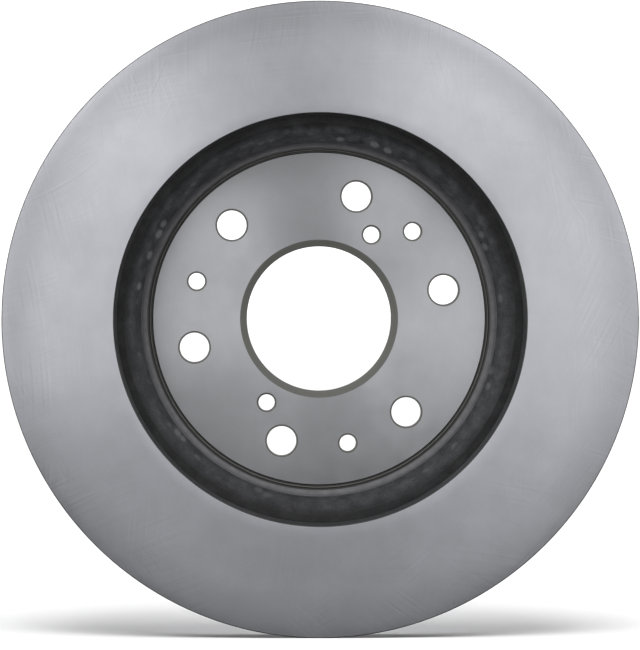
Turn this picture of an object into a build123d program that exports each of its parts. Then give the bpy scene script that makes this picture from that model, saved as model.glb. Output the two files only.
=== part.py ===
from build123d import *
import os
from math import cos, radians, sin

# Vented brake disc for the front axle of a large car or light truck: one iron casting, machined where it
# meets the hub, the wheel and the pads. It stands on its edge, as it does on the axle.
# Frame, in millimetres: Y is the disc's axis and +Z is up. The origin is the centre of the hub face, where
# the disc sits on the hub. -Y is inboard, towards the hub, and +Y is outboard, towards the wheel.
# The casting is written section by section. Each section ends where the next begins, face to face.

os.makedirs("parts", exist_ok=True)

# Friction rings and the vent between them
disc_radius = 162.5
friction_thickness = 29.0
plate_thickness = 9.5
overall_height = 47.0
edge_break = 0.6
inboard_inner_radius = 105.3
outboard_inner_radius = 107.4
inlet_lip = 1.3

# Hat: the flange that bolts to the hub, and the wall that carries the rings
flange_thickness = 8.0
bore_radius = 37.25
bore_lead_radial = 3.4
bore_lead_axial = 2.4
bore_back_chamfer = 0.6
hub_face_radius = 85.7
flange_radius = 88.7
wall_foot_radius = 91.5
wall_foot_height = 2.2
wall_waist_radius = 95.5
wall_waist_height = 12.5
flare_radius = 100.5
hat_corner_radius = 2.5
hat_top_radius = 96.0
hat_base_radius = 101.5
hat_base_height = 9.0

# Relief turned round the edge of the hub face: two fine grooves with a ridge between them
relief_depth = 0.9
ridge_inner_radius = 86.9
ridge_outer_radius = 87.4
ridge_drop = 0.35
groove_flank = 0.35

# Neck groove, which lets the rings grow with heat without bending the hat
neck_groove_depth = 3.0
neck_shoulder_radius = 102.6
neck_floor_radius = 103.1
neck_radius = 105.8

# Vanes
vane_count = 40
vane_thickness = 6.0
vane_inner_radius = 109.0
vane_outer_radius = 160.0

# Holes through the flange: wheel studs, plain location holes, tapped holes for pull-off screws
stud_circle_radius = 66.0
stud_count = 6
stud_first_angle = 13.0
stud_hole_radius = 7.6
location_count = 3
location_first_angle = 43.0
location_hole_radius = 4.25
tapped_circle_radius = 51.05
tapped_count = 2
tapped_first_angle = 58.0
tapped_minor_radius = 4.2
hole_chamfer_radial = 0.9
hole_chamfer_axial = 0.45

# Planes across the axis, worked out from the sizes above
wheel_face = flange_thickness
inboard_face = flange_thickness - overall_height
outboard_face = inboard_face + friction_thickness
inboard_vent_wall = inboard_face + plate_thickness
outboard_vent_wall = outboard_face - plate_thickness
neck_floor = outboard_face - neck_groove_depth


def turned(outline):
    # one full turn about the disc's axis of a closed outline, drawn as radius across and Y up
    return revolve(make_face(outline), Axis.Y)


def write(solid, name):
    export_step(solid, f"parts/{name}.step")


def place(circle_radius, angle):
    # a spot on a circle round the disc's axis, its angle counted from +X towards +Z
    return Pos(circle_radius * cos(radians(angle)), 0, circle_radius * sin(radians(angle)))


def drill(hole_radius):
    # the space of one hole through the flange, with a chamfer at both mouths
    clear = 1.0
    mouth = hole_radius + hole_chamfer_radial * (1 + clear / hole_chamfer_axial)
    return turned(
        Polyline(
            (0, -clear),
            (mouth, -clear),
            (hole_radius, hole_chamfer_axial),
            (hole_radius, wheel_face - hole_chamfer_axial),
            (mouth, wheel_face + clear),
            (0, wheel_face + clear),
            close=True,
        )
    )


def mounting_flange():
    blank = turned(
        Polyline(
            (bore_radius + bore_lead_radial, 0),
            (hub_face_radius, 0),
            (hub_face_radius + groove_flank, relief_depth),
            (ridge_inner_radius - groove_flank, relief_depth),
            (ridge_inner_radius, ridge_drop),
            (ridge_outer_radius, ridge_drop),
            (ridge_outer_radius + groove_flank, relief_depth),
            (flange_radius, relief_depth),
            (flange_radius, wheel_face),
            (bore_radius + bore_back_chamfer, wheel_face),
            (bore_radius, wheel_face - bore_back_chamfer),
            (bore_radius, bore_lead_axial),
            close=True,
        )
    )
    holes = [
        (stud_circle_radius, stud_first_angle, stud_count, stud_hole_radius),
        (stud_circle_radius, location_first_angle, location_count, location_hole_radius),
        (tapped_circle_radius, tapped_first_angle, tapped_count, tapped_minor_radius),
    ]
    for circle_radius, first_angle, count, hole_radius in holes:
        for step in range(count):
            blank -= place(circle_radius, first_angle + step * 360 / count) * drill(hole_radius)
    return blank


def wall_flare():
    # the inner wall opens out in a curve that leaves the straight wall without a corner
    foot = Vector(wall_foot_radius, -wall_foot_height)
    waist = Vector(wall_waist_radius, -wall_waist_height)
    return TangentArc(waist, (flare_radius, outboard_vent_wall), tangent=waist - foot)


def hat_wall():
    foot = TangentArc(
        (flange_radius, relief_depth),
        (wall_foot_radius, -wall_foot_height),
        tangent=(1, 0),
    )
    corner = RadiusArc(
        (hat_top_radius, wheel_face - hat_corner_radius),
        (hat_top_radius - hat_corner_radius, wheel_face),
        -hat_corner_radius,
    )
    inner = Line(foot @ 1, (wall_waist_radius, -wall_waist_height))
    outer = Polyline(
        inner @ 1,
        (neck_shoulder_radius, -wall_waist_height),
        (hat_base_radius, -hat_base_height),
        corner @ 0,
    )
    top = Polyline(corner @ 1, (flange_radius, wheel_face), foot @ 0)
    return turned(foot + inner + outer + corner + top)


def neck():
    flare = wall_flare()
    sides = Polyline(
        flare @ 1,
        (neck_radius, outboard_vent_wall),
        (neck_radius, neck_floor),
        (neck_floor_radius, neck_floor),
        (neck_shoulder_radius, -wall_waist_height),
        flare @ 0,
    )
    return turned(flare + sides)


def outboard_friction_ring():
    return turned(
        Polyline(
            (neck_radius, neck_floor),
            (outboard_inner_radius - edge_break, neck_floor),
            (outboard_inner_radius, outboard_face - edge_break),
            (outboard_inner_radius + edge_break, outboard_face),
            (disc_radius - edge_break, outboard_face),
            (disc_radius, outboard_face - edge_break),
            (disc_radius, outboard_vent_wall + edge_break),
            (disc_radius - edge_break, outboard_vent_wall),
            (neck_radius, outboard_vent_wall),
            close=True,
        )
    )


def inboard_friction_ring():
    # the inner edge leans in by its casting draft, down to the lip over the vent inlets
    lip_radius = inboard_inner_radius - inlet_lip
    return turned(
        Polyline(
            (inboard_inner_radius + edge_break, inboard_face),
            (disc_radius - edge_break, inboard_face),
            (disc_radius, inboard_face + edge_break),
            (disc_radius, inboard_vent_wall - edge_break),
            (disc_radius - edge_break, inboard_vent_wall),
            (lip_radius + inlet_lip, inboard_vent_wall),
            (lip_radius, inboard_vent_wall - inlet_lip),
            (inboard_inner_radius, inboard_face + edge_break),
            close=True,
        )
    )


def vane():
    # one straight vane along +X, between the two rings, with both its ends rounded
    length = vane_outer_radius - vane_inner_radius
    height = outboard_vent_wall - inboard_vent_wall
    middle = (vane_inner_radius + vane_outer_radius) / 2
    foot = Plane((middle, inboard_vent_wall, 0), x_dir=(1, 0, 0), z_dir=(0, 1, 0))
    return extrude(foot * SlotOverall(length, vane_thickness), height)


write(mounting_flange(), "mounting_flange")
write(hat_wall(), "hat_wall")
write(neck(), "neck")
write(outboard_friction_ring(), "outboard_friction_ring")
write(inboard_friction_ring(), "inboard_friction_ring")

vane_pitch = 360 / vane_count
one_vane = vane()
for number in range(vane_count):
    # half a pitch on, so that a channel, not a vane, lies on each of the X and Z axes
    turn = (number + 0.5) * vane_pitch
    write(Rot(0, -turn, 0) * one_vane, f"vane_{number + 1:02d}")
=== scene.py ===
from math import atan, cos, hypot, pi, radians, sin, sqrt

import bmesh
import bpy
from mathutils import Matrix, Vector, noise


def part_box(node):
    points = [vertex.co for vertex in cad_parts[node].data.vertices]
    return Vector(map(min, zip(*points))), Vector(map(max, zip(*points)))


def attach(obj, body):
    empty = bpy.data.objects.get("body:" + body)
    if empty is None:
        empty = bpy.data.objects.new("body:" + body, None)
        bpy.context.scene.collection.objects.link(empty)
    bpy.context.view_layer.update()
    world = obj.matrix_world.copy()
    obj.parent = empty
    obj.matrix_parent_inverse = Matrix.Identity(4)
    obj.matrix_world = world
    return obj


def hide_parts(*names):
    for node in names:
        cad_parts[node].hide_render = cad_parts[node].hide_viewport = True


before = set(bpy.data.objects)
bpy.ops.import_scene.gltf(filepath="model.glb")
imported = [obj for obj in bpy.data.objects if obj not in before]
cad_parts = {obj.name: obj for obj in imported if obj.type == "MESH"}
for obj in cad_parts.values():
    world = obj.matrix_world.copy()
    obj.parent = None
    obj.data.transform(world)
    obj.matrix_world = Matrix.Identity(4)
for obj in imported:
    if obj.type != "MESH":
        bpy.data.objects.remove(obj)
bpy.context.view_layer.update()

# A vented brake disc, standing on its edge. Lengths in the dictionaries are in millimetres.
# Y is the disc's axis: -Y inboard, towards the hub and the viewer, +Y outboard, towards the wheel.
mm = 0.001
noiseSpan = {"From Min": 0.3, "From Max": 0.7}  # where nearly all of a noise texture's values lie


def hexColor(text):
    # sRGB hex to the linear colour that a shader socket wants
    parts = [int(text[i:i + 2], 16) / 255 for i in (1, 3, 5)]
    linear = [c / 12.92 if c <= 0.04045 else ((c + 0.055) / 1.055) ** 2.4 for c in parts]
    return (*linear, 1.0)


def addNode(tree, kind, settings=None, **links):
    # one node; a setting is an attribute or an input's value, a link is a socket to feed that input
    node = tree.nodes.new(kind)
    for key, value in (settings or {}).items():
        if isinstance(key, int) or key in node.inputs:
            node.inputs[key].default_value = value
        else:
            setattr(node, key, value)
    for key, socket in links.items():
        slot = int(key[1:]) if key[0] == "i" and key[1:].isdigit() else key.replace("_", " ")
        tree.links.new(socket, node.inputs[slot])
    return node


def newMaterial(name, fixed):
    material = bpy.data.materials.new(name)
    material.use_nodes = True
    tree = material.node_tree
    tree.nodes.clear()
    shader = addNode(tree, "ShaderNodeBsdfPrincipled", fixed)
    output = addNode(tree, "ShaderNodeOutputMaterial")
    tree.links.new(shader.outputs["BSDF"], output.inputs["Surface"])
    return material, tree, shader


def makePiece(name, mesh, bm, materials, smoothAngle=32):
    bmesh.ops.recalc_face_normals(bm, faces=bm.faces)
    bm.to_mesh(mesh)
    bm.free()
    for polygon in mesh.polygons:
        polygon.use_smooth = True
    mesh.set_sharp_from_angle(angle=radians(smoothAngle))
    for material in materials:
        mesh.materials.append(material)
    piece = bpy.data.objects.new(name, mesh)
    bpy.context.scene.collection.objects.link(piece)
    return piece


def ringRadius(tree, position):
    # distance from the disc's axis, from the object coordinates
    flat = addNode(tree, "ShaderNodeVectorMath", {"operation": "MULTIPLY", 1: (1, 0, 1)}, i0=position)
    return addNode(tree, "ShaderNodeVectorMath", {"operation": "LENGTH"}, i0=flat.outputs[0]).outputs["Value"]


def dressShader(tree, shader, color, gloss, height, strength, depth):
    # what every finish ends with: its colour, its roughness, and a relief that is depth millimetres deep
    bump = addNode(tree, "ShaderNodeBump", {"Strength": strength, "Distance": depth * mm}, Height=height)
    for name, socket in (("Base Color", color), ("Roughness", gloss), ("Normal", bump.outputs["Normal"])):
        tree.links.new(socket, shader.inputs[name])


def turnSheen(tree, shader):
    # marks that run round the disc's axis give a sheen that stands across them
    around = addNode(tree, "ShaderNodeTangent", {"direction_type": "RADIAL", "axis": "Y"})
    tree.links.new(around.outputs["Tangent"], shader.inputs["Tangent"])


# grey cast iron cut on a lathe: the faced hub seat, the bored edges, grooves and corners, and the wall's foot
turnedIron = {
    "color": "#C4C5C9",
    "roughness": 0.36,
    "roughSpread": (-0.02, 0.03),
    "anisotropic": 0.75,   # how far the tool marks draw the light out across them
    "feed": 0.55,          # mm between tool marks, drawn coarser than the real 0.2 so that they show
    "markDepth": 0.006,    # mm
    "markBump": 0.6,
    "markShade": 0.05,     # how much darker the bottom of a mark is
    "mottle": 9.0,         # mm, the cloudiness that graphite gives to cut iron
    "mottleShade": 0.04,
    "mottleLight": 0.02,
}
boredIron = {
    **turnedIron,
    "color": "#A3A39F",
    "roughness": 0.95,     # torn by a heavy cut, so it has no fans
    "anisotropic": 0.0,
    "feed": 0.9,
    "markShade": 0.1,
}
groovedIron = {
    **boredIron,
    "color": "#5A5A59",
    "roughness": 0.5,
    "feed": 0.3,
}
skimmedIron = {
    **boredIron,
    "color": "#9A9A9D",
    "roughness": 0.8,
    "mottle": 5.0,
    "mottleShade": 0.3,    # the tool only just reaches here, so scraps of the casting skin are left
}


def makeCutIron(name, p):
    # rings of tool marks about the disc's axis, so its highlights are fans that stand across the rings
    material, tree, shader = newMaterial(
        name,
        {"Metallic": 1.0, "Anisotropic": p["anisotropic"], "Anisotropic Rotation": 0.25},
    )
    place = addNode(tree, "ShaderNodeTexCoord").outputs["Object"]
    radius = ringRadius(tree, place)
    rings = addNode(
        tree, "ShaderNodeTexNoise",
        {"noise_dimensions": "1D", "Scale": 1 / (p["feed"] * mm), "Detail": 3.0, "Roughness": 0.7},
        W=radius,
    ).outputs["Fac"]
    mottle = addNode(
        tree, "ShaderNodeTexNoise",
        {"Scale": 1 / (p["mottle"] * mm), "Detail": 5.0, "Roughness": 0.6},
        Vector=place,
    ).outputs["Fac"]
    shade = addNode(
        tree, "ShaderNodeMapRange",
        {**noiseSpan, "To Min": 1 - p["markShade"], "To Max": 1.0},
        Value=rings,
    ).outputs["Result"]
    cloud = addNode(
        tree, "ShaderNodeMapRange",
        {**noiseSpan, "To Min": 1 - p["mottleShade"], "To Max": 1 + p["mottleLight"]},
        Value=mottle,
    ).outputs["Result"]
    both = addNode(tree, "ShaderNodeMath", {"operation": "MULTIPLY"}, i0=shade, i1=cloud).outputs[0]
    color = addNode(
        tree, "ShaderNodeVectorMath", {"operation": "SCALE", 0: hexColor(p["color"])[:3]}, Scale=both,
    ).outputs[0]
    smooth, rough = [p["roughness"] + spread for spread in p["roughSpread"]]
    gloss = addNode(
        tree, "ShaderNodeMapRange", {**noiseSpan, "To Min": smooth, "To Max": rough}, Value=mottle,
    ).outputs["Result"]
    dressShader(tree, shader, color, gloss, rings, p["markBump"], p["markDepth"])
    turnSheen(tree, shader)
    return material


groundIron = {
    "color": "#C9CAD0",
    "roughness": 0.42,
    "roughSpread": (-0.015, 0.02),
    "anisotropic": 0.7,
    "feed": 0.7,           # mm between the marks of the first, turned cut
    "feedWeight": 0.5,     # how deep they still are beside the scratches
    "arcSpacing": 1.3,     # mm between scratches, drawn coarser than the grit's 0.1 so that they show
    "arcCentres": ((236, 130), (-190, 170), (40, -420), (-560, -60)),  # mm, where the finishing heads turned
    "arcPatch": 30,        # mm, how far one head's marks hold before others cross them
    "arcEdge": (0.48, 0.66),  # of the patch noise, where one head's marks begin and where they are full
    "arcSeed": (1.3, 3.7),    # the first head's place in that noise, and the step on to the next head's
    "scratchDepth": 0.010,    # mm
    "scratchBump": 0.5,
    "scratchShade": 0.11,
    "scratchSpan": 0.3,    # how far the scratches' heights swing either way
    "hatchInner": 0.12,    # the share of the scratches that the inner edge keeps
    "hatchFrom": 118,      # mm, from here outwards they grow
    "hatchFull": 150,
    "edgeFrom": 136,       # mm, painted shade: from here out to the edge the band is drawn darker
    "edgeFull": 163,
    "edgePaintedShade": 0.78,
    "smudge": 11,          # mm, soft patches where the coolant dried
    "smudgeShade": (0.955, 1.03),
}


def makeGroundIron():
    # friction faces: turned, then ground with swirling heads, so fine arcs cross and the sheen stays soft
    p = groundIron
    material, tree, shader = newMaterial(
        "greyIronGround",
        {"Metallic": 1.0, "Anisotropic": p["anisotropic"], "Anisotropic Rotation": 0.25},
    )
    place = addNode(tree, "ShaderNodeTexCoord").outputs["Object"]
    radius = ringRadius(tree, place)
    rings = addNode(
        tree, "ShaderNodeTexNoise",
        {"noise_dimensions": "1D", "Scale": 1 / (p["feed"] * mm), "Detail": 3.0, "Roughness": 0.65},
        W=radius,
    ).outputs["Fac"]
    firstSeed, seedStep = p["arcSeed"]
    swirl = None
    for index, (x, z) in enumerate(p["arcCentres"]):
        away = addNode(
            tree, "ShaderNodeVectorMath", {"operation": "SUBTRACT", 1: (x * mm, 0, z * mm)}, i0=place,
        ).outputs[0]
        arcs = addNode(
            tree, "ShaderNodeTexNoise",
            {"noise_dimensions": "1D", "Scale": 1 / (p["arcSpacing"] * mm), "Detail": 3.0, "Roughness": 0.6},
            W=ringRadius(tree, away),
        ).outputs["Fac"]
        patch = addNode(
            tree, "ShaderNodeTexNoise",
            {"noise_dimensions": "4D", "Scale": 1 / (p["arcPatch"] * mm), "Detail": 5.0, "Roughness": 0.62,
             "W": seedStep * index + firstSeed},
            Vector=place,
        ).outputs["Fac"]
        mask = addNode(
            tree, "ShaderNodeMapRange",
            {"From Min": p["arcEdge"][0], "From Max": p["arcEdge"][1], "To Min": 0.0, "To Max": 1.0},
            Value=patch,
        ).outputs["Result"]
        level = addNode(tree, "ShaderNodeMath", {"operation": "SUBTRACT", 1: 0.5}, i0=arcs).outputs[0]
        part = addNode(tree, "ShaderNodeMath", {"operation": "MULTIPLY"}, i0=level, i1=mask).outputs[0]
        swirl = part if swirl is None else addNode(
            tree, "ShaderNodeMath", {"operation": "ADD"}, i0=swirl, i1=part,
        ).outputs[0]
    outwards = addNode(
        tree, "ShaderNodeMapRange",
        {"From Min": p["hatchFrom"] * mm, "From Max": p["hatchFull"] * mm,
         "To Min": p["hatchInner"], "To Max": 1.0},
        Value=radius,
    ).outputs["Result"]
    swirl = addNode(tree, "ShaderNodeMath", {"operation": "MULTIPLY"}, i0=swirl, i1=outwards).outputs[0]
    height = addNode(
        tree, "ShaderNodeMath", {"operation": "MULTIPLY_ADD", 1: p["feedWeight"]}, i0=rings, i2=swirl,
    ).outputs[0]
    cloud = addNode(
        tree, "ShaderNodeTexNoise",
        {"Scale": 1 / (p["smudge"] * mm), "Detail": 6.0, "Roughness": 0.6},
        Vector=place,
    ).outputs["Fac"]
    scratch = addNode(
        tree, "ShaderNodeMapRange",
        {"From Min": -p["scratchSpan"], "From Max": p["scratchSpan"],
         "To Min": 1 - p["scratchShade"], "To Max": 1 + p["scratchShade"]},
        Value=swirl,
    ).outputs["Result"]
    patchy = addNode(
        tree, "ShaderNodeMapRange",
        {**noiseSpan, "To Min": p["smudgeShade"][0], "To Max": p["smudgeShade"][1]},
        Value=cloud,
    ).outputs["Result"]
    # painted shade: the colour darkens towards the outer edge
    paintedEdgeShade = addNode(
        tree, "ShaderNodeMapRange",
        {"interpolation_type": "SMOOTHSTEP", "From Min": p["edgeFrom"] * mm, "From Max": p["edgeFull"] * mm,
         "To Min": 1.0, "To Max": p["edgePaintedShade"]},
        Value=radius,
    ).outputs["Result"]
    both = addNode(tree, "ShaderNodeMath", {"operation": "MULTIPLY"}, i0=scratch, i1=patchy).outputs[0]
    both = addNode(tree, "ShaderNodeMath", {"operation": "MULTIPLY"}, i0=both, i1=paintedEdgeShade).outputs[0]
    color = addNode(
        tree, "ShaderNodeVectorMath", {"operation": "SCALE", 0: hexColor(p["color"])[:3]}, Scale=both,
    ).outputs[0]
    smooth, rough = [p["roughness"] + spread for spread in p["roughSpread"]]
    gloss = addNode(
        tree, "ShaderNodeMapRange", {**noiseSpan, "To Min": smooth, "To Max": rough}, Value=cloud,
    ).outputs["Result"]
    dressShader(tree, shader, color, gloss, height, p["scratchBump"], p["scratchDepth"])
    turnSheen(tree, shader)
    return material


coatedIron = {
    "color": "#222124",
    "cool": "#1E2124",     # the coating's tint drifts a little from place to place
    "paleAndHighlight": "#5C5D60",     # the paler grey of the grain specks and the coating patches, and on the spots a painted highlight
    "roughness": 0.55,
    "roughSpread": (0.05, -0.08),  # away from the painted highlight spots, and on them
    "grain": 1.1,          # mm, sand grains of the mould
    "grainDepth": 0.12,    # mm
    "grainBump": 0.8,
    "speckle": (0.4, 0.7, 0.3),  # of the grain noise, where grains show through and where fully; how much
    "cloud": 6,            # mm, faint patches of thicker and thinner coating
    "cloudShow": (0.42, 0.68, 0.28),  # the same three for these patches
    "highlightSpot": 7.5,           # mm, from one painted highlight spot to the next
    "highlightSpotDraw": 0.5,       # they run long in the way that the pattern was drawn from the sand
    "highlightSpotEdge": (0.42, 0.16),  # share of that distance, where a highlight spot ends and where it is brightest
    "highlightSpotFrayed": (5, 0.12),   # frays to one such distance, and their reach as a share of it
    "highlightSpotFade": (3.5, -8, -15),  # mm along the axis, none on the outer wall and none down in the gap
    "drift": 40,           # mm, from where the highlight spots come thick to where there are none
    "driftEdge": (0.40, 0.56),
    "ventPaintedShade": 0.3,      # painted shade: deep inside the vents the coating is drawn darker, where the real shade falls
    "ventFrom": -15.5,     # mm along the axis, where it begins to and where it is full
    "ventFull": -19.5,
}


def makeCoatedIron():
    # iron as it left the sand mould, under a thin dark coating: dull and grainy, with painted highlights as
    # soft paler spots, and painted shade in the vents
    p = coatedIron
    material, tree, shader = newMaterial("castIronCoated", {"Metallic": 0.0})
    place = addNode(tree, "ShaderNodeTexCoord").outputs["Object"]
    grain = addNode(
        tree, "ShaderNodeTexNoise",
        {"Scale": 1 / (p["grain"] * mm), "Detail": 4.0, "Roughness": 0.6},
        Vector=place,
    ).outputs["Fac"]
    # painted highlights: paler spots, in a band along the wall, where light would catch the cast bumps
    drawn = addNode(
        tree, "ShaderNodeVectorMath", {"operation": "MULTIPLY", 1: (1, p["highlightSpotDraw"], 1)}, i0=place,
    ).outputs[0]
    frays, frayReach = p["highlightSpotFrayed"]
    ragged = addNode(
        tree, "ShaderNodeTexNoise", {"Scale": frays / (p["highlightSpot"] * mm), "Detail": 2.0}, Vector=place,
    )
    spread = addNode(
        tree, "ShaderNodeVectorMath", {"operation": "MULTIPLY_ADD", 1: (frayReach * p["highlightSpot"] * mm,) * 3},
        i0=ragged.outputs["Color"], i2=drawn,
    ).outputs[0]
    away = addNode(
        tree, "ShaderNodeTexVoronoi", {"Scale": 1 / (p["highlightSpot"] * mm)}, Vector=spread,
    ).outputs["Distance"]
    highlightSpot = addNode(
        tree, "ShaderNodeMapRange",
        {"interpolation_type": "SMOOTHSTEP", "From Min": p["highlightSpotEdge"][0], "From Max": p["highlightSpotEdge"][1]},
        Value=away,
    ).outputs["Result"]
    drift = addNode(
        tree, "ShaderNodeTexNoise", {"Scale": 1 / (p["drift"] * mm), "Detail": 2.0}, Vector=place,
    ).outputs["Fac"]
    along = addNode(tree, "ShaderNodeSeparateXYZ", i0=place).outputs["Y"]
    outer, middle, inner = [y * mm for y in p["highlightSpotFade"]]
    paleAndHighlight = highlightSpot
    for start in (outer, inner):
        fade = addNode(
            tree, "ShaderNodeMapRange",
            {"interpolation_type": "SMOOTHSTEP", "From Min": start, "From Max": middle},
            Value=along,
        ).outputs["Result"]
        paleAndHighlight = addNode(tree, "ShaderNodeMath", {"operation": "MULTIPLY"}, i0=paleAndHighlight, i1=fade).outputs[0]
    uneven = addNode(
        tree, "ShaderNodeMapRange",
        {"From Min": p["driftEdge"][0], "From Max": p["driftEdge"][1]},
        Value=drift,
    ).outputs["Result"]
    paleAndHighlight = addNode(tree, "ShaderNodeMath", {"operation": "MULTIPLY"}, i0=paleAndHighlight, i1=uneven).outputs[0]
    cloud = addNode(
        tree, "ShaderNodeTexNoise", {"Scale": 1 / (p["cloud"] * mm), "Detail": 3.0}, Vector=drawn,
    ).outputs["Fac"]
    paleAndHighlightShare = paleAndHighlight
    for pattern, (start, full, most) in ((grain, p["speckle"]), (cloud, p["cloudShow"])):
        show = addNode(
            tree, "ShaderNodeMapRange",
            {"From Min": start, "From Max": full, "To Min": 0.0, "To Max": most},
            Value=pattern,
        ).outputs["Result"]
        paleAndHighlightShare = addNode(tree, "ShaderNodeMath", {"operation": "ADD"}, i0=paleAndHighlightShare, i1=show).outputs[0]
    coat = addNode(
        tree, "ShaderNodeMix",
        {"data_type": "RGBA", 6: hexColor(p["color"]), 7: hexColor(p["cool"])},
        i0=drift,
    ).outputs[2]
    mixed = addNode(
        tree, "ShaderNodeMix", {"data_type": "RGBA", 7: hexColor(p["paleAndHighlight"])}, i0=paleAndHighlightShare, i6=coat,
    ).outputs[2]
    # painted shade: the colour darkens deep in the vents, where shade falls
    paintedVentShade = addNode(
        tree, "ShaderNodeMapRange",
        {"From Min": p["ventFrom"] * mm, "From Max": p["ventFull"] * mm,
         "To Min": 1.0, "To Max": p["ventPaintedShade"]},
        Value=along,
    ).outputs["Result"]
    color = addNode(tree, "ShaderNodeVectorMath", {"operation": "SCALE"}, i0=mixed, Scale=paintedVentShade).outputs[0]
    awayRoughness, spotRoughness = [p["roughness"] + spread for spread in p["roughSpread"]]
    gloss = addNode(
        tree, "ShaderNodeMapRange", {"To Min": awayRoughness, "To Max": spotRoughness}, Value=paleAndHighlight,
    ).outputs["Result"]
    dressShader(tree, shader, color, gloss, grain, p["grainBump"], p["grainDepth"])
    return material


ringMaterials = [
    makeGroundIron(),
    makeCutIron("greyIronTurned", turnedIron),
    makeCoatedIron(),
    makeCutIron("greyIronBored", boredIron),
    makeCutIron("greyIronGrooved", groovedIron),
    makeCutIron("greyIronSkimmed", skimmedIron),
]
groundFace, turnedFace, castFace, boredFace, groovedFace, skimmedFace = range(len(ringMaterials))
print("materials made")


castSkin = {
    "lump": 3.4,        # mm, the small unevenness of the sand
    "lumpShare": 0.55,
    "lumpFall": 0.8,    # how much fainter each finer layer of it is
    "lumpStep": 2.2,    # and how much finer
    "lumpLayers": 3,
    "swell": 17,        # mm, the larger
    "swellShare": 0.6,
    "fade": 4.0,        # mm from the wheel face, where the skin runs out into the machined corner
}


def sandSkin(place, depth):
    # how far a cast surface stands off its true shape at this place, the same for every piece there
    p = castSkin
    lump = noise.fractal(place / (p["lump"] * mm), p["lumpFall"], p["lumpStep"], p["lumpLayers"])
    swell = noise.noise(place / (p["swell"] * mm))
    fade = min(1, max(0, (wheelFace - place.y / mm) / p["fade"]))
    return depth * fade * (p["lumpShare"] * lump + p["swellShare"] * swell)


def arcPoints(centre, radius, start, end, count):
    # points along an arc in the radius-and-Y plane, angles in degrees from the radius axis towards +Y
    steps = [radians(start + (end - start) * i / count) for i in range(count + 1)]
    return [(centre[0] + radius * cos(a), centre[1] + radius * sin(a)) for a in steps]


aside = 2  # mm, how far off along a straight edge a point is put, only to give bend that edge's direction
sameSpot = 1e-4  # mm, closer than this two points of a profile are one
roundUp = 0.999  # added before a count is cut to a whole number, so that any real remainder adds one


def bend(a, corner, b, reach, count=4):
    # a small rounding at a corner of a profile, reaching that far along both sides, towards a and b
    toA = Vector(a) - Vector(corner)
    toB = Vector(b) - Vector(corner)
    start = Vector(corner) + toA.normalized() * reach
    end = Vector(corner) + toB.normalized() * reach
    points = []
    for i in range(count + 1):
        t = i / count
        points.append(tuple(start * (1 - t) ** 2 + Vector(corner) * 2 * t * (1 - t) + end * t ** 2))
    return points


def divide(start, end, longest):
    # the points after start on a straight run, no further apart than longest
    count = max(1, int(hypot(end[0] - start[0], end[1] - start[1]) / longest + roundUp))
    return [
        (start[0] + (end[0] - start[0]) * i / count, start[1] + (end[1] - start[1]) * i / count)
        for i in range(1, count + 1)
    ]


def latheRings(bm, path, segments, castDepth):
    # one ring of vertices for each (radius, y, finish) of the path
    rings = []
    for index, (radius, y, finish) in enumerate(path):
        before = path[index - 1]
        after = path[(index + 1) % len(path)]
        cast = finish == castFace and before[2] == castFace
        across = Vector((after[1] - before[1], before[0] - after[0]))
        across = across.normalized() if across.length else Vector((0, 0))
        ring = []
        for k in range(segments):
            angle = 2 * pi * k / segments
            place = Vector((radius * cos(angle), y, radius * sin(angle))) * mm
            if cast:
                off = sandSkin(place, castDepth) * mm
                place += Vector((across.x * cos(angle), across.y, across.x * sin(angle))) * off
            ring.append(bm.verts.new(place))
        rings.append(ring)
    return rings


def joinRings(bm, first, second, finish):
    count = len(first)
    for k in range(count):
        face = bm.faces.new((first[k], first[(k + 1) % count], second[(k + 1) % count], second[k]))
        face.material_index = finish


def turnedPiece(name, path, segments=720, castDepth=0.0):
    # a closed ring turned from a closed path; each point's finish is that of the stretch that leaves it
    mesh = bpy.data.meshes.new(name)
    bm = bmesh.new()
    rings = latheRings(bm, path, segments, castDepth)
    for index, ring in enumerate(rings):
        joinRings(bm, ring, rings[(index + 1) % len(rings)], path[index][2])
    return makePiece(name, mesh, bm, ringMaterials)


def profile(*stretches):
    # a path of (radius, y, finish) from stretches of points that share a finish, without repeats
    path = []
    for finish, points in stretches:
        for point in points:
            if path and hypot(path[-1][0] - point[0], path[-1][1] - point[1]) < sameSpot:
                path[-1] = (*point, finish)
            else:
                path.append((*point, finish))
    if hypot(path[0][0] - path[-1][0], path[0][1] - path[-1][1]) < sameSpot:
        path.pop()
    return path


low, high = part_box("inboard_friction_ring")
discRadius = min(high.x, -low.x) / mm
inboardFace = low.y / mm
inboardVentWall = high.y / mm
low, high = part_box("outboard_friction_ring")
outboardVentWall = low.y / mm
outboardFace = high.y / mm
low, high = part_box("mounting_flange")
flangeRadius = high.x / mm
wheelFace = high.y / mm
low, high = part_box("neck")
neckRadius = high.x / mm


frictionRing = {
    "innerRadius": 105.3,
    "lip": 1.3,            # how far the inner edge leans in, to the vent inlets
    "edgeBreak": 0.45,
    "outboardInner": 107.4,
    "grooveDepth": 3.0,
    "grooveFootIn": 0.6,   # how far the neck groove's wall leans back at its foot
    "grooveRound": 0.5,
    "castDepth": 0.16,
    "faceStep": 6,         # the longest step of the mesh across a ground face, a rim and a cast wall
    "rimStep": 2.0,
    "castStep": 1.6,
    "draftStep": 0.8,
}


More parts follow.
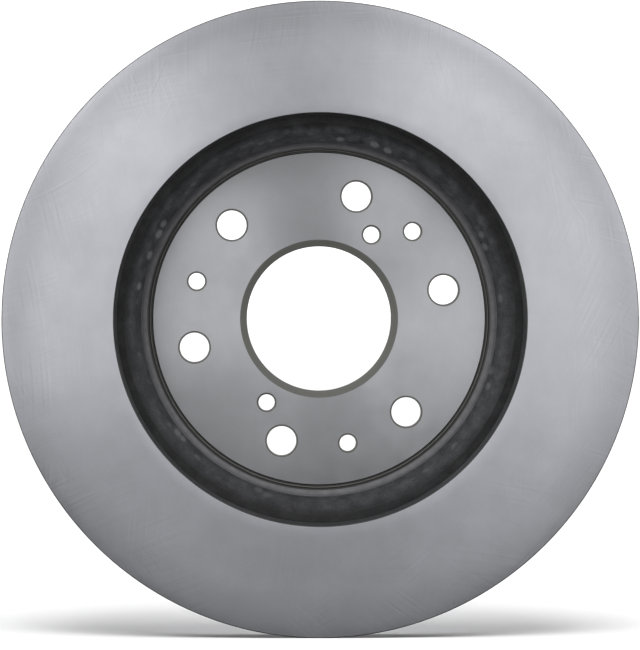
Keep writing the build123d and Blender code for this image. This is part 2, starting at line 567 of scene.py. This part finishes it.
def inboardRing():
    p = frictionRing
    inner, edge, lipRadius = p["innerRadius"], p["edgeBreak"], p["innerRadius"] - p["lip"]
    face, back, out = inboardFace, inboardVentWall, discRadius
    across = [(inner + edge, face), *divide((inner + edge, face), (out - edge, face), p["faceStep"])]
    corner = bend((out - aside, face), (out, face), (out, face + aside), edge)
    rim = [
        *divide((out, face + edge), (out, back - edge), p["rimStep"]),
        *bend((out, back - aside), (out, back), (out - aside, back), edge),
    ]
    ventWall = [(out - edge, back), *divide((out - edge, back), (lipRadius + p["lip"], back), p["castStep"])]
    lip = bend((lipRadius + aside, back), (lipRadius, back), (lipRadius, face), p["lip"])
    draft = divide(lip[-1], (inner, face + edge), p["draftStep"])
    innerEdge = bend((inner, face + aside), (inner, face), (inner + aside, face), edge)
    return turnedPiece(
        "inboardFrictionRing",
        profile(
            (groundFace, across),
            (groovedFace, corner),
            (turnedFace, rim),
            (castFace, ventWall + lip + draft),
            (groovedFace, innerEdge),
        ),
        castDepth=p["castDepth"],
    )


def outboardRing():
    p = frictionRing
    inner, edge = p["outboardInner"], p["edgeBreak"]
    face, wall, out = outboardFace, outboardVentWall, discRadius
    floor = face - p["grooveDepth"]
    grooveFoot = (inner - p["grooveFootIn"], floor)
    groove = [(neckRadius, floor), *bend((neckRadius, floor), grooveFoot, (inner, face), p["grooveRound"])]
    across = [(inner + edge, face), *divide((inner + edge, face), (out - edge, face), p["faceStep"])]
    rim = [
        *bend((out - aside, face), (out, face), (out, face - aside), edge),
        *divide((out, face - edge), (out, wall + edge), p["rimStep"]),
        *bend((out, wall + aside), (out, wall), (out - aside, wall), edge),
    ]
    return turnedPiece(
        "outboardFrictionRing",
        profile(
            (boredFace, groove),
            (turnedFace, bend((inner, floor), (inner, face), (inner + aside, face), edge)),
            (groundFace, across),
            (turnedFace, rim),
            (castFace, [(out - edge, wall), *divide((out - edge, wall), (neckRadius, wall), p["castStep"])]),
        ),
        castDepth=p["castDepth"],
    )


for piece, node in ((inboardRing(), "inboard_friction_ring"), (outboardRing(), "outboard_friction_ring")):
    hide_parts(node)
    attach(piece, "root")
print("friction rings made")


hat = {
    "reliefDepth": 0.9,
    "footRadius": 91.5,
    "footHeight": 2.2,
    "waist": (95.5, -12.5),
    "flareRadius": 100.5,
    "topRadius": 96.0,
    "corner": 2.5,
    "base": (101.5, -9.0),
    "neckStep": (102.6, -12.5),
    "neckFloor": (103.1, -13.0),
    "castDepth": 0.2,
    "arcSteps": 8,         # of the mesh round the wall's foot and round its corner
    "flareSteps": 14,
    "innerStep": 0.8,      # the longest step of the mesh up the wall, inside and out
    "outerStep": 0.9,
}


def tangentArc(start, direction, end, count):
    # the arc that leaves start along direction and reaches end
    start, end, along = Vector(start), Vector(end), Vector(direction).normalized()
    chord = end - start
    side = Vector((-along.y, along.x))
    reach = chord.dot(side)
    radius = chord.length_squared / (2 * reach)
    centre = start + side * radius
    arm = start - centre
    turn = 2 * atan(reach / chord.dot(along))
    points = []
    for i in range(count + 1):
        a = turn * i / count
        x = centre.x + arm.x * cos(a) - arm.y * sin(a)
        y = centre.y + arm.x * sin(a) + arm.y * cos(a)
        points.append((x, y))
    return points


def hatWall():
    p = hat
    footStart, footEnd = (flangeRadius, p["reliefDepth"]), (p["footRadius"], -p["footHeight"])
    foot = tangentArc(footStart, (1, 0), footEnd, p["arcSteps"])
    inner = divide(foot[-1], p["waist"], p["innerStep"])
    cornerCentre = (p["topRadius"] - p["corner"], wheelFace - p["corner"])
    corner = arcPoints(cornerCentre, p["corner"], 0, 90, p["arcSteps"])
    outer = [p["neckStep"], *divide(p["neckStep"], p["base"], p["innerStep"])]
    outer += divide(p["base"], corner[0], p["outerStep"])
    return turnedPiece(
        "hatWall",
        profile(
            (skimmedFace, foot),
            (castFace, inner),
            (turnedFace, [p["waist"], p["neckStep"]]),
            (castFace, outer + corner),
            (turnedFace, [corner[-1], (flangeRadius, wheelFace)]),
        ),
        castDepth=p["castDepth"],
    )


def neckPiece():
    p = hat
    down = Vector(p["waist"]) - Vector((p["footRadius"], -p["footHeight"]))
    flare = tangentArc(p["waist"], down, (p["flareRadius"], outboardVentWall), p["flareSteps"])
    outside = (neckRadius, outboardVentWall)
    grooveStart = (neckRadius, p["neckFloor"][1])
    return turnedPiece(
        "hatNeck",
        profile(
            (castFace, flare + divide(flare[-1], outside, p["outerStep"])),
            (turnedFace, [outside, grooveStart, p["neckFloor"], p["neckStep"], p["waist"]]),
        ),
        castDepth=p["castDepth"],
    )


for piece, node in ((hatWall(), "hat_wall"), (neckPiece(), "neck")):
    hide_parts(node)
    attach(piece, "root")
print("hat and neck made")


flange = {
    "bore": 37.25,
    "leadRadial": 3.4,
    "leadAxial": 2.4,
    "backChamfer": 0.6,
    "hubFace": 85.7,
    "reliefDepth": 0.9,
    "ridge": (86.9, 87.4),
    "ridgeDrop": 0.35,
    "flank": 0.35,
    "segments": 360,
    "boreStep": 1.0,       # the longest step of the mesh along the bore
    "mouthRound": 0.15,    # the small roundings of its corners, from the bore's mouth to the relief
    "leadRound": 0.2,
    "backRound": 0.08,
    "edgeRound": 0.12,
    "grooveRound": 0.15,
    "ridgeRound": 0.1,
    "chamferRadial": 0.9,
    "chamferAxial": 0.45,
    "mouthSoft": (0.05, 0.08),  # across and along the axis, where a hole's chamfer eases into the face
    "holes": (  # circle radius, first angle, count, hole radius, sides, tapped
        (66.0, 13.0, 6, 7.6, 72, False),
        (66.0, 43.0, 3, 4.25, 48, False),
        (51.05, 58.0, 2, 4.2, 48, True),
    ),
    "pitch": 1.5,
    "threadDepth": 0.8,
    "crestFlat": 0.08,     # shares of the pitch: half of a crest's flat, and one flank
    "flankShare": 0.36,
    "pitchSteps": 12,      # of the mesh along one pitch
}


def threadRadius(minor, y, angle):
    # the wall of a tapped hole: a sixty-degree thread with a narrow flat on its crests
    p = flange
    turnShare = (y / p["pitch"] - angle / (2 * pi)) % 1
    rise = min(1, max(0, (abs(turnShare - 0.5) - p["crestFlat"]) / p["flankShare"]))
    return minor + p["threadDepth"] * rise


def holeLoops(bm, centreX, centreZ, radius, sides, tapped):
    # the rings of a hole's wall from the hub face to the wheel face
    p = flange
    cut, deep = p["chamferRadial"], p["chamferAxial"]
    softAcross, softAlong = p["mouthSoft"]
    mouth = [(0, radius + cut), (softAlong, radius + cut - softAcross)]
    shaft = [(deep, radius), (wheelFace - deep, radius)]
    if tapped:
        span = wheelFace - 2 * deep
        steps = int(span / (p["pitch"] / p["pitchSteps"]))
        shaft = [(deep + span * i / steps, None) for i in range(steps + 1)]
    stations = mouth + shaft + [(wheelFace - y, wide) for y, wide in reversed(mouth)]
    loops = []
    for y, wide in stations:
        loop = []
        for k in range(sides):
            angle = 2 * pi * k / sides
            r = threadRadius(radius, y, angle) if wide is None else wide
            loop.append(bm.verts.new(Vector((centreX + r * cos(angle), y, centreZ + r * sin(angle))) * mm))
        loops.append(loop)
    return loops


def mountingFlange():
    p = flange
    mesh = bpy.data.meshes.new("mountingFlange")
    bm = bmesh.new()
    mouth = (p["bore"] + p["leadRadial"], 0)
    step = (p["bore"], p["leadAxial"])
    back = (p["bore"] + p["backChamfer"], wheelFace)
    backStart = wheelFace - p["backChamfer"]
    bore = [
        *bend((mouth[0] + aside, 0), mouth, step, p["mouthRound"]),
        *bend(mouth, step, (p["bore"], wheelFace), p["leadRound"]),
        *divide((p["bore"], p["leadAxial"] + p["leadRound"]), (p["bore"], backStart), p["boreStep"]),
        *bend((p["bore"], backStart), back, (back[0] + aside, wheelFace), p["backRound"]),
    ]
    borePath = profile((boredFace, bore))
    edge, deep, flank = p["hubFace"], p["reliefDepth"], p["flank"]
    ridgeIn, ridgeOut = [(radius, p["ridgeDrop"]) for radius in p["ridge"]]
    grooveIn, grooveOut = (edge + flank, deep), (ridgeIn[0] - flank, deep)
    after = (ridgeOut[0] + flank, deep)
    innerGroove = [
        *bend((edge - aside, 0), (edge, 0), grooveIn, p["edgeRound"]),
        *bend((edge, 0), grooveIn, grooveOut, p["grooveRound"]),
        *bend(grooveIn, grooveOut, ridgeIn, p["grooveRound"]),
    ]
    outerGroove = [
        *bend(ridgeIn, ridgeOut, after, p["ridgeRound"]),
        *bend(ridgeOut, after, (flangeRadius, deep), p["grooveRound"]),
        (flangeRadius, deep),
        (flangeRadius, wheelFace),
    ]
    reliefPath = profile(
        (groovedFace, innerGroove),
        (boredFace, bend(grooveOut, ridgeIn, ridgeOut, p["ridgeRound"])),
        (groovedFace, outerGroove),
    )
    boreRings = latheRings(bm, borePath, p["segments"], 0)
    rimRings = latheRings(bm, reliefPath, p["segments"], 0)
    for rings, path in ((boreRings, borePath), (rimRings, reliefPath)):
        for first, second, point in zip(rings, rings[1:], path):
            joinRings(bm, first, second, point[2])
    hubLoops, wheelLoops = [boreRings[0], rimRings[0]], [boreRings[-1], rimRings[-1]]
    for circle, firstAngle, count, radius, sides, tapped in p["holes"]:
        for k in range(count):
            a = radians(firstAngle + 360 * k / count)
            loops = holeLoops(bm, circle * cos(a), circle * sin(a), radius, sides, tapped)
            for first, second in zip(loops, loops[1:]):
                joinRings(bm, first, second, boredFace)
            hubLoops.append(loops[0])
            wheelLoops.append(loops[-1])
    for loops in (hubLoops, wheelLoops):  # the two flat faces, each with every hole left open
        edges = []
        for loop in loops:
            for a, b in zip(loop, loop[1:] + loop[:1]):
                edges.append(bm.edges.get((a, b)) or bm.edges.new((a, b)))
        filled = bmesh.ops.triangle_fill(bm, use_beauty=True, use_dissolve=False, edges=edges)
        for item in filled["geom"]:
            if isinstance(item, bmesh.types.BMFace):
                item.material_index = turnedFace
    return makePiece("mountingFlange", mesh, bm, ringMaterials)


piece = mountingFlange()
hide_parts("mounting_flange")
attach(piece, "root")
print("mounting flange made")


vaneShape = {
    "count": 40,
    "thickness": 6.0,
    "rootFillet": 1.6,
    "inner": 109.0,
    "outer": 160.0,
    "levels": (-0.2, 0, 0.25, 0.7, 1.6, 3.3),  # from each ring: let into it, then close in the fillet
    "castDepth": 0.12,
    "castLean": 6,         # the skin stands off to the side, and to the ends by the way along over this
    "endSteps": 12,        # of the mesh round one end and along one side
    "sideSteps": 16,
    "smoothAngle": 60,
}


def vanePiece(number):
    # a cast rib that spreads into both rings with a fillet all round its foot
    p = vaneShape
    mesh = bpy.data.meshes.new(f"vane{number:02d}")
    bm = bmesh.new()
    heading = radians((number - 0.5) * 360 / p["count"])
    radial = Vector((cos(heading), 0, sin(heading)))
    side = Vector((-sin(heading), 0, cos(heading)))
    half = p["thickness"] / 2
    reach = (p["outer"] - p["inner"]) / 2 - half
    middle = (p["outer"] + p["inner"]) / 2
    tall = outboardVentWall - inboardVentWall
    endSteps, sideSteps = p["endSteps"], p["sideSteps"]
    heights = list(p["levels"]) + [tall - level for level in reversed(p["levels"])]
    loops = []
    fillet = p["rootFillet"]
    for height in heights:
        near = max(0, min(height, tall - height))
        spread = fillet - sqrt(max(0, fillet ** 2 - (fillet - near) ** 2)) if near < fillet else 0
        loop = []
        outline = []
        for end in (1, -1):
            for k in range(endSteps + 1):
                a = radians(-90 + 180 * k / endSteps)
                outline.append((end * (reach + (half + spread) * cos(a)), end * (half + spread) * sin(a)))
            for k in range(1, sideSteps):
                outline.append((end * reach * (1 - 2 * k / sideSteps), end * (half + spread)))
        for along, across in outline:
            place = radial * (middle + along) + side * across + Vector((0, inboardVentWall + height, 0))
            place *= mm
            if 0 < height < tall:
                outwards = (side * across + radial * (along / p["castLean"])).normalized()
                place += outwards * sandSkin(place, p["castDepth"]) * mm
            loop.append(bm.verts.new(place))
        loops.append(loop)
    for first, second in zip(loops, loops[1:]):
        joinRings(bm, first, second, 0)
    for loop in (loops[0], loops[-1]):  # each end, closed from side to side
        for k in range(endSteps // 2, endSteps // 2 + endSteps + sideSteps):
            across = (loop[k], loop[k + 1], loop[endSteps - k - 1], loop[endSteps - k])
            bm.faces.new(list(dict.fromkeys(across)))
    return makePiece(f"vane{number:02d}", mesh, bm, [ringMaterials[castFace]], p["smoothAngle"])


for number in range(1, vaneShape["count"] + 1):
    piece = vanePiece(number)
    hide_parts(f"vane_{number:02d}")
    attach(piece, "root")
print("vanes made")


stage = {
    "floorSize": 24.0,      # m
    "floorColor": "#FAFAFA",
    "softbox": 0.45,        # m, the side of a softbox that hangs a metre away
    "ambient": 0.05,        # the white room, as the disc sees it
    "backdrop": 1.3,        # and as the camera sees it
    "azimuth": -1.13,       # degrees, where the camera stands
    "elevation": 0.87,
    "distance": 2.87,       # m
    "aim": (-0.28, -2.7),   # mm across and up from the disc's axis, on the inboard face
    "lens": 312.0,          # mm, on a sensor 36 mm wide
    "sensor": 36.0,
    "clip": (0.1, 60),      # m
}


def makeFloor():
    mesh = bpy.data.meshes.new("floor")
    bm = bmesh.new()
    bmesh.ops.create_grid(bm, x_segments=2, y_segments=2, size=stage["floorSize"] / 2)
    bm.to_mesh(mesh)
    bm.free()
    floor = bpy.data.objects.new("floor", mesh)
    bpy.context.scene.collection.objects.link(floor)
    floor.location = (0, 0, -discRadius * mm)
    material, tree, shader = newMaterial(
        "studioPaper",
        {"Base Color": hexColor(stage["floorColor"]), "Roughness": 0.9, "Specular IOR Level": 0.0},
    )
    mesh.materials.append(material)
    floor.visible_glossy = False
    return floor


lamps = {
    # softboxes on both sides, which leave the floor dark: degrees off the axis, degrees round, m away, power
    "fill": (8, 90, 1.0, 0.40),
    "right": (30, 0, 1.0, 1.13),
    "upperRight": (42, 30, 1.0, 1.14),
    "highRight": (42, 60, 0.7, 1.06),
    "top": (55, 100, 1.0, 1.34),
    "highLeft": (42, 135, 1.0, 3.08),
    "left": (42, 180, 1.0, 2.15),
    "sideRight": (86, 20, 1.0, 1.2),
    "sideLeft": (86, 160, 1.0, 1.2),
}
banks = {
    # overhead banks that only reach the floor: degrees tilted to the front, degrees wide, power, shadow
    "bankHigh": (24, 30, 1.2, True),
    "bankFront": (44, 30, 1.5, True),
    "bankOver": (-6, 90, 1.0, True),
    "bankFill": (0, 0, 0.4, False),   # keeps the shadow from going black
}


def hangLamp(name, kind, energy):
    light = bpy.data.lights.new(name, kind)
    light.energy = energy
    lamp = bpy.data.objects.new(name, light)
    lamp.visible_camera = False
    bpy.context.scene.collection.objects.link(lamp)
    return lamp, light


def makeLights(floor):
    groups = {}
    for group, state in (("allButFloor", "EXCLUDE"), ("floorOnly", "INCLUDE")):
        groups[group] = bpy.data.collections.new(group)
        groups[group].objects.link(floor)
        groups[group].collection_objects[0].light_linking.link_state = state
    middle = Vector((0, (inboardFace + wheelFace) / 2, 0)) * mm
    for name, (off, around, distance, power) in lamps.items():
        for place, side in (("Front", -1), ("Rear", 1)):
            lamp, light = hangLamp(name + place, "AREA", power)
            light.size = stage["softbox"] * distance
            out, turn = radians(off), radians(around)
            way = Vector((sin(out) * cos(turn), side * cos(out), sin(out) * sin(turn)))
            lamp.location = middle + way * distance
            lamp.rotation_euler = (-way).to_track_quat("-Z", "Y").to_euler()
            lamp.light_linking.receiver_collection = groups["allButFloor"]
    for name, (tilt, softness, power, shadow) in banks.items():
        lamp, light = hangLamp(name, "SUN", power)
        light.angle = radians(softness)
        lamp.rotation_euler = (radians(tilt), 0, 0)
        lamp.light_linking.receiver_collection = groups["floorOnly"]
        if not shadow:
            lamp.light_linking.blocker_collection = groups["floorOnly"]
    world = bpy.data.worlds.new("studio")
    world.use_nodes = True
    tree = world.node_tree
    tree.nodes.clear()
    seen = addNode(tree, "ShaderNodeLightPath").outputs["Is Camera Ray"]
    glow = addNode(
        tree, "ShaderNodeMapRange", {"To Min": stage["ambient"], "To Max": stage["backdrop"]}, Value=seen,
    ).outputs["Result"]
    sky = addNode(tree, "ShaderNodeBackground", {"Color": (1, 1, 1, 1)}, Strength=glow)
    output = addNode(tree, "ShaderNodeOutputWorld")
    tree.links.new(sky.outputs[0], output.inputs["Surface"])
    bpy.context.scene.world = world


def makeCamera():
    p = stage
    data = bpy.data.cameras.new("camera")
    data.lens = p["lens"]
    data.sensor_width = p["sensor"]
    data.clip_start, data.clip_end = p["clip"]
    camera = bpy.data.objects.new("camera", data)
    azimuth, elevation = radians(p["azimuth"]), radians(p["elevation"])
    back = Vector((sin(azimuth) * cos(elevation), -cos(azimuth) * cos(elevation), sin(elevation)))
    aim = Vector((p["aim"][0], inboardFace, p["aim"][1])) * mm
    camera.location = aim + back * p["distance"]
    camera.rotation_mode = "QUATERNION"
    camera.rotation_quaternion = (-back).to_track_quat("-Z", "Y")
    bpy.context.scene.collection.objects.link(camera)
    bpy.context.scene.camera = camera


makeLights(makeFloor())
makeCamera()
bpy.context.scene.view_settings.view_transform = "Standard"
print("floor, lights and camera made")
